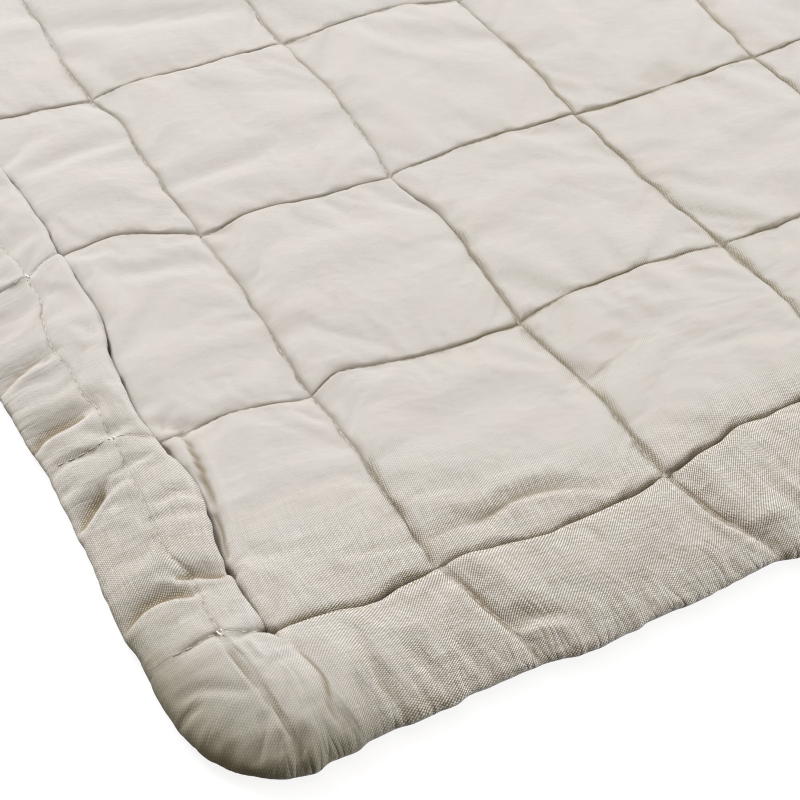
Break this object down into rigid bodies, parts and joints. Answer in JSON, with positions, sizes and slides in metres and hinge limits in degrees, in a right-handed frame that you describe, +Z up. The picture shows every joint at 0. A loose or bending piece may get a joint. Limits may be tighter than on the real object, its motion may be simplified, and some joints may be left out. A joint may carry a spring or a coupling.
{
  "type": "quilted cotton blanket",
  "caption": "Filled cotton blanket of cot size lying flat, quilted in squares, with a puffed border roll, a sewn border seam and rounded corners.",
  "frame": {"origin": "on the floor, under the middle of the blanket", "axes": "+Z up from the floor, +Y along the length, +X across the width"},
  "size_m": [0.7148, 0.998, 0.0168],
  "materials": {
    "cotton_cloth": "matt woven cotton in white and tan yarn"
  },
  "bodies": {
    "root": {"quilted_blanket": "cotton_cloth"}
  },
  "joints": []
}
